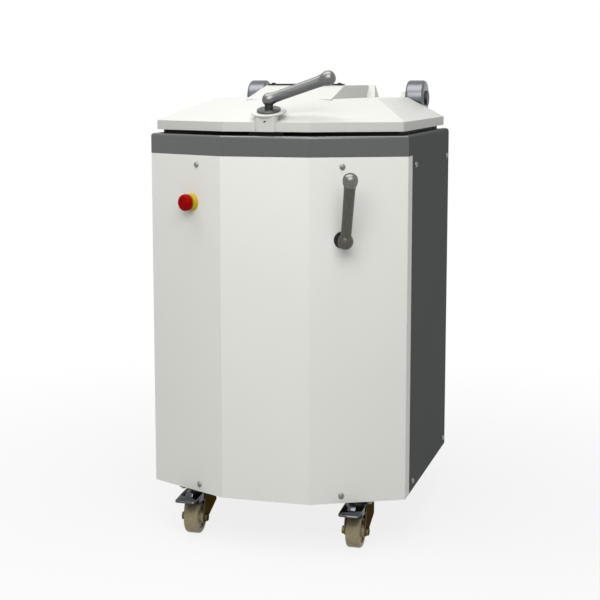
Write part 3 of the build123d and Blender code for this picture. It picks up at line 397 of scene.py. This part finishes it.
def finished(piece, name, node):
    """Lets a piece stand for a CAD piece, with its finish and its body."""
    piece.name = name
    piece.data.name = name
    piece.data.materials.clear()
    piece.data.materials.append(finishes[slot_of[node]])
    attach(piece, body_of[node])
    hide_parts(node)
    return piece


# %% [markdown]
# ## Softened castings
# The lid is a coated aluminium casting, and the forks are pressed steel. None of their edges is
# sharp on the real machine, and a rounded edge is what catches a thin line of light. So each gets a
# copy of its solid with the triangles merged back into flat faces, and a bevel along every edge
# that turns by more than a given angle. Weighted normals then keep the flat faces looking flat. The
# lid's slopes meet at shallow angles, so its own limit is small.

# %% Softened copies
tolerance, flat_within = 0.01, 0.5
front_casters = ("front_left", "front_right")
casters = front_casters + ("rear_left", "rear_right")


def softened(node, width, angle):
    """Copy of a CAD piece with its edges rounded off. The width is in millimetres."""
    piece = bpy.data.objects.new(f"soft_{node}", nodes[node].data.copy())
    bpy.context.scene.collection.objects.link(piece)
    pick(piece)
    bpy.ops.mesh.customdata_custom_splitnormals_clear()
    bpy.ops.object.mode_set(mode="EDIT")
    bpy.ops.mesh.select_all(action="SELECT")
    bpy.ops.mesh.remove_doubles(threshold=tolerance * mm)
    bpy.ops.mesh.dissolve_limited(angle_limit=math.radians(flat_within))
    bpy.ops.object.mode_set(mode="OBJECT")
    bevelled(piece, width, segments=3, angle=angle)
    smoothed(piece, 50)
    fitted(piece, "WEIGHTED_NORMAL", keep_sharp=True)
    return finished(piece, f"soft_{node}", node)


sharp_angle, slope_angle = 28, 9
soft_pieces = {"lid_casting": (3.0, slope_angle), "latch_housing": (1.5, sharp_angle),
               "lid_strip": (1.0, sharp_angle), "lid_arms": (3.0, sharp_angle)}
for place in casters:
    soft_pieces[f"caster_fork_{place}"] = (0.8, sharp_angle)
for node, (width, angle) in soft_pieces.items():
    piece = softened(node, width, angle)
    print(piece.name, len(piece.data.polygons), "faces")

# %% [markdown]
# ## Ball levers
# Both levers are the same kind of casting: a hub ball, a bar that thickens a little outward and a
# larger ball at the end, with a hollow curve where the bar runs into each ball. They are turned
# with few rings, and a subdivision surface rounds them. The faces of the balls get a brighter
# metal of their own, which is a painted highlight.

# %% Lever outlines and helpers
bar = [(12.6, 15), (12.3, 22), (13.2, 126), (13.8, 132)]
end_ball = [(14.3, 137), (16.6, 142), (18.1, 149), (17.6, 156), (15.2, 161.5), (11.0, 165.6),
            (5.6, 167.8), (1.0, 168.2)]
lid_hub = [(1.0, -16.2), (5.0, -15.6), (10.0, -12.8), (13.8, -8.6), (16.1, -2), (15.7, 4),
           (13.8, 9)]
control_hub = [(1.0, -18.7), (5.8, -18.0), (11.6, -14.8), (16.0, -9.8), (18.6, -2), (18.2, 4),
               (15.6, 10), (13.4, 14)]
control_neck = [(13.2, 3.4), (12.8, 4.0), (12.2, 8), (12.4, 16), (13.6, 24), (13.4, 30)]
end_ball_out, end_ball_reach, hub_reach = 150 * mm, 19.6 * mm, 16.9 * mm


def ball_lever(hub, point, direction):
    """Lever with its hub at a point and its bar along a direction."""
    lever = turned(hub + bar + end_ball, 24)
    fitted(lever, "SUBSURF", levels=2, render_levels=2)
    pick(lever)
    bpy.ops.object.shade_smooth()
    return placed(lever, point, direction)


def highlight_balls(lever, *balls):
    """Gives the faces of some balls the brighter metal of a painted highlight. A ball is its middle and its reach.
    """
    lever.data.materials.append(ball_highlight_metal)
    for face in lever.data.polygons:
        on_ball = any((face.center - middle).length < reach for middle, reach in balls)
        face.material_index = int(on_ball)


# %% Lid lever
lid_lever_rise = math.radians(19)
lid_hub_point = Vector(joints["lid_lever_turn"]["pos_m"])
lid_along = Vector((math.cos(lid_lever_rise), 0, math.sin(lid_lever_rise)))
lever = finished(ball_lever(lid_hub, lid_hub_point, lid_along), "lid_ball_lever", "lid_lever")
lid_ball_point = lid_hub_point + lid_along * end_ball_out
highlight_balls(lever, (lid_hub_point, hub_reach), (lid_ball_point, end_ball_reach))
print("lid lever's ball at", [round(value, 3) for value in lid_ball_point])

# %% Control lever
control_hub_out = 37
control_lean = math.radians(18)
facet_out = Vector(joints["control_lever_turn"]["axis"])
facet_point = Vector(joints["control_lever_turn"]["pos_m"])
control_hub_point = facet_point + facet_out * control_hub_out * mm
control_up = Vector((0, 0, math.cos(control_lean))) + facet_out * math.sin(control_lean)
lever = ball_lever(control_hub, control_hub_point, control_up)
neck = placed(turned(control_neck, 32), facet_point, facet_out)
lever = finished(joined(lever, neck), "control_ball_lever", "control_lever")
lever.data.materials[0] = upright_lever_metal
control_ball_point = control_hub_point + control_up.normalized() * end_ball_out
highlight_balls(lever, (control_ball_point, end_ball_reach))
print("control lever's ball at", [round(value, 3) for value in control_ball_point])

# %% [markdown]
# ## Stop button
# A red mushroom head stands on a yellow collar, both moulded plastic. The head is a little dished
# on top, with a rounded rim, and the collar has a thin flange against the panel and a step near its
# top. Both are turned from outlines, along the way that the button is pressed.

# %% Stop button
collar_height = 12
collar_outline = [(11, -1.5), (11, 0), (21.3, 0), (21.5, 0.4), (21.5, 2.4), (20.8, 3.2),
                  (20.6, 7.2), (19.9, 8), (19.9, 10.8), (18.8, 11.9), (8, 11.9), (6.3, 11.2)]
head_outline = [(5.9, 6), (5.9, 16.4), (17.4, 16.4), (19.2, 16.9), (20, 18.3), (20, 23.9),
                (19.5, 26.9), (17.8, 29.7), (15, 31.6), (11.6, 32.3), (8, 32), (4, 31.4),
                (0.8, 31.2)]
stop_in = Vector(joints["stop_press"]["axis"])
collar_low, collar_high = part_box("stop_collar")
stop_point = (collar_low + collar_high) / 2 + stop_in * collar_height / 2 * mm
finished(placed(turned(collar_outline, 64), stop_point, -stop_in), "stop_ring", "stop_collar")
finished(placed(turned(head_outline, 64), stop_point, -stop_in), "stop_mushroom", "stop_head")
print("stop button at", [round(value, 3) for value in stop_point])

# %% [markdown]
# ## Button-head screws
# Plated screws with a domed head and a hexagon socket hold the panels. One is turned, the flat top
# of its dome is inset and drawn to a hexagon, and the hexagon is sunk. Copies then go to each place
# on the front facets, the sides and the rear.

# %% One screw
head_top, socket_rim, socket_half, socket_depth = 3.95, 0.3, 2.8, 2.2
screw_outline = [(2.5, -1.5), (2.5, 0), (6.8, 0), (7, 0.4), (6.9, 1.1), (6.2, 2.3), (5.1, 3.3),
                 (4.1, 3.85), (3.7, head_top)]
screw = turned(screw_outline, 24)
pick(screw)
bpy.ops.object.mode_set(mode="EDIT")
mesh = bmesh.from_edit_mesh(screw.data)
for face in mesh.faces:
    face.select_set(face.calc_center_median().z > (head_top - tolerance) * mm)
bmesh.update_edit_mesh(screw.data)
bpy.ops.mesh.inset(thickness=socket_rim * mm, depth=0)
mesh = bmesh.from_edit_mesh(screw.data)
for corner in [vertex for vertex in mesh.verts if vertex.select]:
    turn = math.atan2(corner.co.y, corner.co.x) % math.radians(60) - math.radians(30)
    corner.co.xy *= socket_half * mm / math.cos(turn) / corner.co.xy.length
bmesh.update_edit_mesh(screw.data)
extrude((0, 0, -socket_depth))
bpy.ops.object.mode_set(mode="OBJECT")
smoothed(screw)
print("one screw has", len(screw.data.polygons), "faces")

# %% Screws in their places
panel_low, panel_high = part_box("front_panel")
half_width, front_y, base_z = panel_high.x, panel_low.y, panel_low.z
rear_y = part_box("rear_panel")[1].y
band_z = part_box("top_band")[0].z
middle_facet_half, screw_along_facet = 108, 78.5
facet_start = Vector((middle_facet_half * mm, front_y, 0))
facet_along = Vector((-facet_out.y, facet_out.x, 0))
facet_heights = (band_z - 23 * mm, base_z + 18 * mm)
side_heights = (band_z - 24 * mm, base_z + 23 * mm)
side_depths = (front_y + 189 * mm, rear_y - 33 * mm)
rear_heights = (base_z + 23 * mm, (base_z + band_z) / 2, band_z - 24 * mm)
rear_half = half_width - 18 * mm
screw_places = []
for side in (-1, 1):
    flip = Vector((side, 1, 1))
    for z in facet_heights:
        spot = facet_start + facet_along * screw_along_facet * mm + Vector((0, 0, z))
        screw_places.append((spot * flip, facet_out * flip))
    for z in side_heights:
        for y in side_depths:
            screw_places.append((Vector((side * half_width, y, z)), Vector((side, 0, 0))))
    for z in rear_heights:
        screw_places.append((Vector((side * rear_half, rear_y, z)), Vector((0, 1, 0))))
screws = [placed(copied(screw), spot, out) for spot, out in screw_places]
bpy.data.objects.remove(screw)
finished(joined(*screws), "button_screws", "panel_screws")
print(len(screw_places), "screws")

# %% [markdown]
# ## Latch disc
# Between the lever's spindle and the rim of the latch housing lies a turned steel disc with a
# chamfer and a shallow groove. It lies parallel to the lid's front slope, while the spindle stands
# upright, so its bore is wider than the spindle.

# %% Latch disc
hub_above_disc = 27
front_slope_out = (0, -51, 192)
disc_outline = [(12.1, 0), (27, 0), (27.8, 0.5), (28, 1.2), (28, 4.6), (27.4, 5.6), (26.4, 6),
                (20, 6), (19.4, 5.3), (18.6, 5.3), (18, 6), (12.1, 6)]
disc_foot = lid_hub_point - Vector((0, 0, hub_above_disc * mm))
disc = placed(turned(disc_outline, 64), disc_foot, front_slope_out)
finished(disc, "turned_latch_disc", "latch_disc")
disc.data.materials[0] = disc_steel
print("latch disc at", [round(value, 3) for value in disc_foot])

# %% [markdown]
# ## Seal under the lid's edge
# The gap between the lid and the cabinet is closed all round by a strip of black sponge rubber on
# the deck, which stands for the shade in the gap: painted shade. A ring of six corners is drawn up
# to the lid, thickened and rounded.

# %% Edge seal
seal_corners = [(-291, 612), (-291, 126), (-118, 72), (118, 72), (291, 126), (291, 612)]
seal_thickness, seal_play = 9, 0.3
deck_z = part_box("top_deck")[1].z
lid_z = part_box("lid_casting")[0].z
seal_height = (lid_z - deck_z) / mm - seal_play
bpy.ops.object.select_all(action="DESELECT")
bpy.ops.mesh.primitive_circle_add(vertices=len(seal_corners))
seal = bpy.context.object
for vertex, (x, y) in zip(seal.data.vertices, seal_corners):
    vertex.co = (x * mm, front_y + y * mm, deck_z)
bpy.ops.object.mode_set(mode="EDIT")
bpy.ops.mesh.select_all(action="SELECT")
extrude((0, 0, seal_height))
bpy.ops.object.mode_set(mode="OBJECT")
fitted(seal, "SOLIDIFY", thickness=seal_thickness * mm, offset=0)
bevelled(seal, 2, segments=3)
# A black strip that stands for the shade in the gap: painted shade.
seal.name = "gap_shade_seal"
smoothed(seal, 40).data.materials.append(rubber)
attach(seal, "cabinet")
print("seal is", round(seal_height, 1), "mm high")

# %% [markdown]
# ## Casters
# The front casters have a brake pedal: a plated steel plate with rounded corners, a raised tab that
# the toe lifts it by and a sloping lip along its front, on two ears that pivot in the fork. A
# curved shoe between the ears comes down on the wheel. The plate and the shoe start as flat sheets
# and get their thickness last, so that a corner or a curve is shaped only once. The wheels are
# moulded nylon with rounded shoulders, a recessed web on each side and a fine line where the
# mould's halves met. Only one half of a wheel is written down, and the other half is its mirror.

# %% Wheels
wheel_outline = [(6.4, -23.6), (12.6, -23.6), (13.6, -22.8), (14, -21.6), (14.4, -14.2),
                 (15.4, -12.9), (24.8, -12.5), (26.6, -13.3), (27.4, -15.2), (28.2, -16.8),
                 (29.6, -17.5), (35.2, -17.5), (37.6, -16.8), (39.2, -15), (40, -12.2),
                 (40, -0.7), (39.7, -0.3)]
wheel_outline += [(radius, -side) for radius, side in reversed(wheel_outline)]
wheel = turned(wheel_outline, 64)
for place in casters:
    axle = Vector(joints[f"roll_{place}"]["pos_m"])
    copy = placed(copied(wheel), axle, (1, 0, 0))
    finished(copy, f"nylon_wheel_{place}", f"caster_wheel_{place}")
bpy.data.objects.remove(wheel)
print(len(casters), "wheels")

# %% Pedal sizes, from the caster's swivel axis and the floor
pivot_y, pivot_z = -10, joints["brake_front_left"]["pos_m"][2] / mm
pedal_width, pedal_length, pedal_thickness, pedal_fall = 52, 78.4, 3, 7.5
pedal_back, pedal_top = 34, pivot_z + 16.3
pedal_corner, pedal_lip = 7, (0, -2.9, -3.5)
tab_size, tab_middle, tab_lean = (20, 2.5, 11), (0, -80, pedal_top - 1), 36
fork_inside, ear_play = 24, 0.3
ear_size, ear_y, ear_z = (3, 58, 18), -39, pivot_z + 3.2
ear_x = fork_inside - ear_play - ear_size[0] / 2
boss_outline = [(3.2, -1.5), (4.6, -1.5), (5, -1.1), (5, 1.1), (4.6, 1.5), (3.2, 1.5)]
wheel_middle = Vector((0, -37, 40))
shoe_radius, shoe_width, shoe_thickness = 46.5, 41.2, 3
shoe_middle, shoe_span = 26.5, 87

# %% Plate of a pedal


def choose(piece, kind, test):
    """In edit mode, selects corners or edges whose middle, in millimetres, passes a test."""
    bpy.ops.mesh.select_mode(type=kind)
    bpy.ops.mesh.select_all(action="DESELECT")
    mesh = bmesh.from_edit_mesh(piece.data)
    for element in {"VERT": mesh.verts, "EDGE": mesh.edges}[kind]:
        corners = [element] if kind == "VERT" else element.verts
        middle = sum((corner.co for corner in corners), Vector()) / len(corners) / mm
        element.select_set(test(middle))
    bmesh.update_edit_mesh(piece.data)


def pedal_plate():
    """Plate that falls towards its front, with rounded front corners and a sloping lip."""
    bpy.ops.object.select_all(action="DESELECT")
    bpy.ops.mesh.primitive_plane_add(size=mm)
    plate = bpy.context.object
    plate.scale = (pedal_width, pedal_length, 1)
    settled(plate)
    bpy.ops.object.mode_set(mode="EDIT")
    choose(plate, "VERT", lambda middle: middle.y < 0)
    bpy.ops.mesh.bevel(offset=pedal_corner * mm, segments=4, affect="VERTICES")
    choose(plate, "EDGE", lambda middle: middle.y < -pedal_length / 2 + pedal_corner)
    extrude(pedal_lip)
    bpy.ops.object.mode_set(mode="OBJECT")
    fitted(plate, "SOLIDIFY", thickness=pedal_thickness * mm, offset=-1)
    bevelled(plate, 0.7, segments=2, angle=40)
    plate.rotation_euler.x = math.atan2(pedal_fall, pedal_length)
    plate_y, plate_z = -(pedal_back + pedal_length / 2), pedal_top - pedal_fall / 2
    plate.location = Vector((0, plate_y, plate_z)) * mm
    return settled(plate)


# %% Blocks and shoe of a pedal


def rounded_block(size, middle, edge, segments, lean=0):
    """Block with rounded edges that leans back by an angle. Its sizes are in millimetres."""
    bpy.ops.object.select_all(action="DESELECT")
    bpy.ops.mesh.primitive_cube_add(size=mm)
    block = bpy.context.object
    block.scale = size
    block.rotation_euler.x = -math.radians(lean)
    block.location = Vector(middle) * mm
    return bevelled(settled(block), edge, segments)


def brake_shoe():
    """Curved shoe between the ears. Its front comes down on the wheel with the pedal."""
    bpy.ops.object.select_all(action="DESELECT")
    bpy.ops.mesh.primitive_grid_add(x_subdivisions=1, y_subdivisions=18, size=1)
    shoe = bpy.context.object
    for vertex in shoe.data.vertices:
        turn = math.radians(shoe_middle + shoe_span * vertex.co.y)
        y, z = shoe_radius * math.sin(turn), shoe_radius * math.cos(turn)
        vertex.co = (wheel_middle + Vector((vertex.co.x * shoe_width, y, z))) * mm
    fitted(shoe, "SOLIDIFY", thickness=shoe_thickness * mm, offset=1)
    return bevelled(shoe, 0.6, segments=2, angle=40)


# %% Brake pedals


def brake_pedal():
    """Pedal about its caster's swivel axis, with the floor at zero."""
    parts = [pedal_plate(), rounded_block(tab_size, tab_middle, 0.9, 3, tab_lean), brake_shoe()]
    for side in (-1, 1):
        ear = rounded_block(ear_size, (side * ear_x, ear_y, ear_z), 1, 2)
        boss_point = Vector((side * ear_x, pivot_y, pivot_z)) * mm
        boss = placed(turned(boss_outline, 32), boss_point, (1, 0, 0))
        parts += [ear, boss]
    return smoothed(joined(*parts), 40)


pedal = brake_pedal()
for place in front_casters:
    swivel = Vector(joints[f"swivel_{place}"]["pos_m"])
    copy = placed(copied(pedal), Vector((swivel.x, swivel.y, 0)))
    finished(copy, f"plated_pedal_{place}", f"brake_pedal_{place}")
bpy.data.objects.remove(pedal)
print(len(front_casters), "pedals")

# %% [markdown]
# ## Studio
# The machine stands on a pale floor in soft light: a wide lamp overhead, which reaches out to the
# left and leaves the right side in shade, one in front, a little to the right, and a pale room all
# round. The floor takes the machine's shadow. To rays that look at it, it is lifted towards the
# white of the room as it goes away from the machine, so that no horizon shows.

# %% Floor
bpy.ops.object.select_all(action="DESELECT")
bpy.ops.mesh.primitive_plane_add(size=60, location=(0, 0, 0))
floor = bpy.context.object
floor.name = "floor"


# %% Rays that look at a thing


def looked_at(holder):
    """1 for the rays that show a thing to the eye: straight, mirrored or through glass."""
    ray = add_node(holder, "ShaderNodeLightPath").outputs
    seen = ray["Is Camera Ray"]
    for kind in ("Is Glossy Ray", "Is Transmission Ray"):
        either = add_node(holder, "ShaderNodeMath", {0: seen, 1: ray[kind]}, operation="MAXIMUM")
        seen = either.outputs[0]
    return seen


# %% Floor's finish
lift_start, lift_end, least_lift = 0.3, 2.2, 0.84
floor_finish, floor_shader, floor_place = start_finish("pale_floor")
floor_shader.inputs["Base Color"].default_value = colour("#d0d0ce")
floor_shader.inputs["Roughness"].default_value = 0.9
floor_shader.inputs["Specular IOR Level"].default_value = 0.0
away = add_node(floor_finish, "ShaderNodeVectorMath", {0: floor_place}, operation="LENGTH")
lift = add_node(floor_finish, "ShaderNodeMapRange", {
    "Value": away.outputs["Value"], "From Min": lift_start, "From Max": lift_end,
    "To Min": least_lift, "To Max": 1.0}, interpolation_type="SMOOTHSTEP")
share = add_node(floor_finish, "ShaderNodeMath", {
    0: lift.outputs["Result"], 1: looked_at(floor_finish)}, operation="MULTIPLY")
glow = add_node(floor_finish, "ShaderNodeEmission", {"Color": (1, 1, 1, 1), "Strength": 1.0})
both = add_node(floor_finish, "ShaderNodeMixShader", {
    0: share.outputs[0], 1: floor_shader.outputs[0], 2: glow.outputs[0]})
output = floor_finish.node_tree.nodes["Material Output"]
floor_finish.node_tree.links.new(both.outputs[0], output.inputs["Surface"])
floor.data.materials.append(floor_finish)

# %% Room
room_level = 0.25
room = bpy.data.worlds.new("pale_room")
bpy.context.scene.world = room
room.use_nodes = True
strength = add_node(room, "ShaderNodeMapRange", {
    "Value": looked_at(room), "To Min": room_level, "To Max": 1.0})
background = room.node_tree.nodes["Background"]
background.inputs["Color"].default_value = (1, 1, 1, 1)
room.node_tree.links.new(strength.outputs["Result"], background.inputs["Strength"])
print("floor and room made")

# %% Lamps


def soft_lamp(name, place, target, width, depth, power):
    """Wide lamp at a place, turned to a target. Its power is in watts."""
    bpy.ops.object.light_add(type="AREA", location=place)
    lamp = bpy.context.object
    lamp.name = name
    lamp.data.shape = "RECTANGLE"
    lamp.data.size = width
    lamp.data.size_y = depth
    lamp.data.energy = power
    aim = Vector(target) - Vector(place)
    lamp.rotation_euler = aim.to_track_quat("-Z", "Y").to_euler()
    print(name, power, "W")


soft_lamp("lamp_overhead", (-0.5, -0.35, 2.9), (-0.5, -0.349, 1.0), 2.7, 1.6, 50)
soft_lamp("lamp_front", (0.42, -2.0, 2.1), (0, -0.3, 0.9), 2.0, 1.3, 37)

# %% [markdown]
# ## Camera
# The photograph was taken with a long lens, a little to the right of the machine and from just
# above its lid. The place and the lens were worked out from the cabinet's corners.

# %% Camera
camera_data = bpy.data.cameras.new("camera")
camera = bpy.data.objects.new("camera", camera_data)
bpy.context.scene.collection.objects.link(camera)
camera.location = (0.949, -3.413, 1.117)
yaw, pitch = 15.68, -7.80
camera.rotation_euler = (math.radians(90 + pitch), 0, math.radians(yaw))
camera_data.sensor_width = 36
camera_data.lens = 83.25
camera_data.shift_y = -0.05
bpy.context.scene.camera = camera
bpy.context.scene.view_settings.view_transform = "Standard"
print("camera with a lens of", camera_data.lens, "mm")
